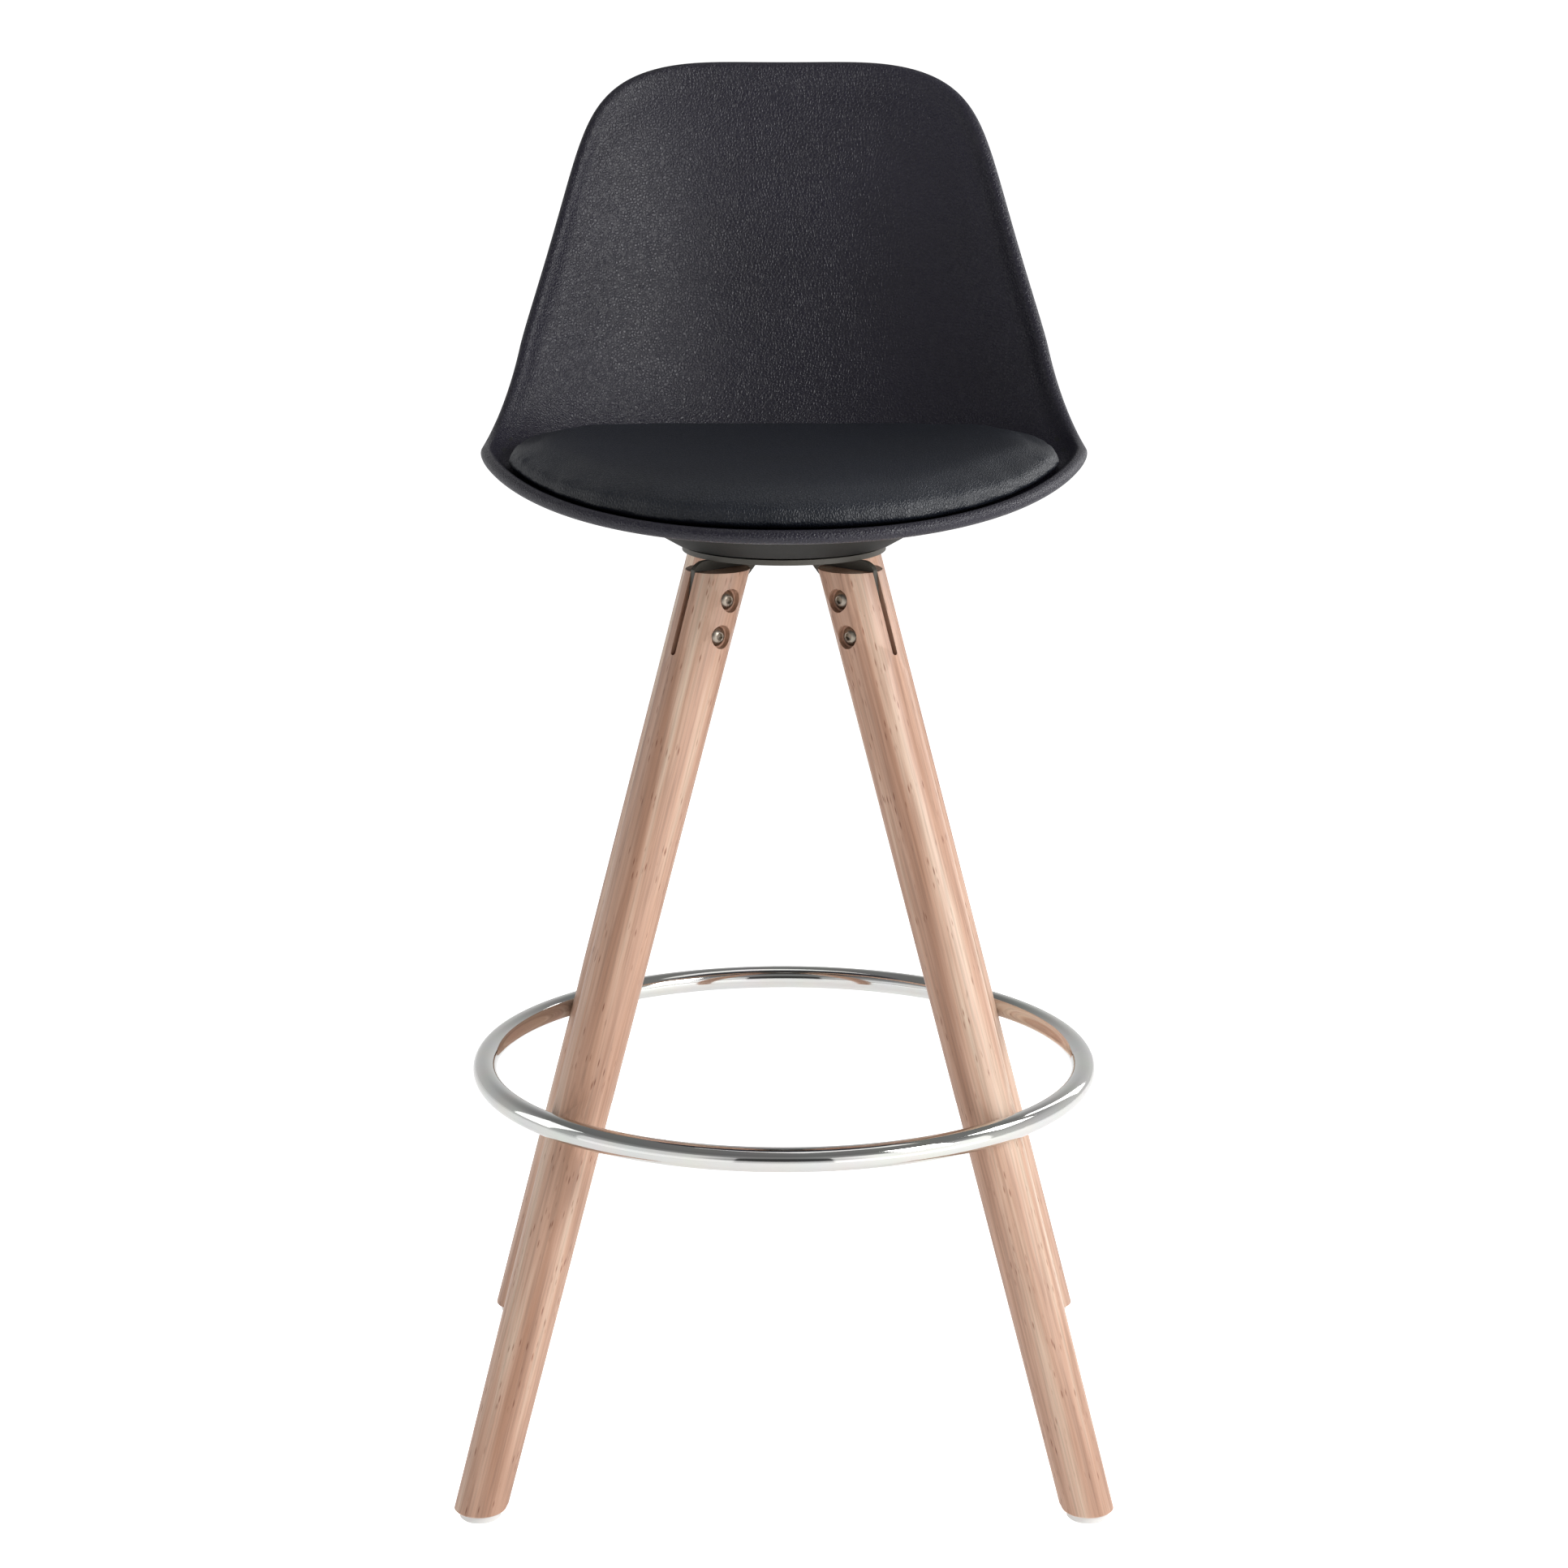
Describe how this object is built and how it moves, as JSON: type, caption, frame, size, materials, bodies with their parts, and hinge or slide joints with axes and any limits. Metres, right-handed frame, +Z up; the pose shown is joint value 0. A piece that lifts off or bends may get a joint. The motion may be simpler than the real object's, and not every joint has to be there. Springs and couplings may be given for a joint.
{
  "type": "bar stool",
  "caption": "Swivelling bar stool: a leatherette bucket seat with a cushion on splayed round wooden legs with a chrome footrest ring.",
  "frame": {"origin": "on the floor, on the swivel axis", "axes": "+Z up, the front of the seat faces -Y, +X to the sitter's left"},
  "size_m": [0.4944, 0.4884, 1.0505],
  "materials": {
    "beech": "satin lacquered beech",
    "glide_plastic": "white moulded polyethylene",
    "bracket_steel": "dark powder coat",
    "zinc_steel": "zinc plated steel",
    "nickel_steel": "nickel plated steel",
    "chrome": "polished chrome plate",
    "acetal": "machined acetal",
    "collar_plastic": "dark grey moulded polypropylene",
    "shell_plastic": "black moulded polypropylene",
    "shell_leatherette": "black grained leatherette",
    "cushion_leatherette": "black grained leatherette over foam"
  },
  "bodies": {
    "stand": {"leg_front_left": "beech", "leg_front_right": "beech", "leg_rear_left": "beech", "leg_rear_right": "beech", "glide_front_left": "glide_plastic", "glide_front_right": "glide_plastic", "glide_rear_left": "glide_plastic", "glide_rear_right": "glide_plastic", "glide_nails": "zinc_steel", "footrest_ring": "chrome", "footrest_screws": "zinc_steel", "fin_front_left": "bracket_steel", "fin_front_right": "bracket_steel", "fin_rear_left": "bracket_steel", "fin_rear_right": "bracket_steel", "leg_bolts": "nickel_steel", "leg_sleeve_nuts": "nickel_steel", "swivel_lower_plate": "bracket_steel", "slide_ring": "acetal", "pivot_bolt": "zinc_steel", "pivot_washer": "zinc_steel", "pivot_nut": "zinc_steel"},
    "seat": {"swivel_upper_plate": "bracket_steel", "pivot_bush": "acetal", "mounting_collar": "collar_plastic", "seat_screws": "zinc_steel", "tee_nuts": "zinc_steel", "seat_shell": "shell_plastic", "inner_cover": "shell_leatherette", "outer_cover": "shell_leatherette", "seat_cushion": "cushion_leatherette"}
  },
  "joints": [
    {"name": "seat_swivel", "type": "hinge", "parent": "stand", "child": "seat", "pos_m": [0, 0, 0.7], "axis": [0, 0, 1], "continuous": true}
  ]
}
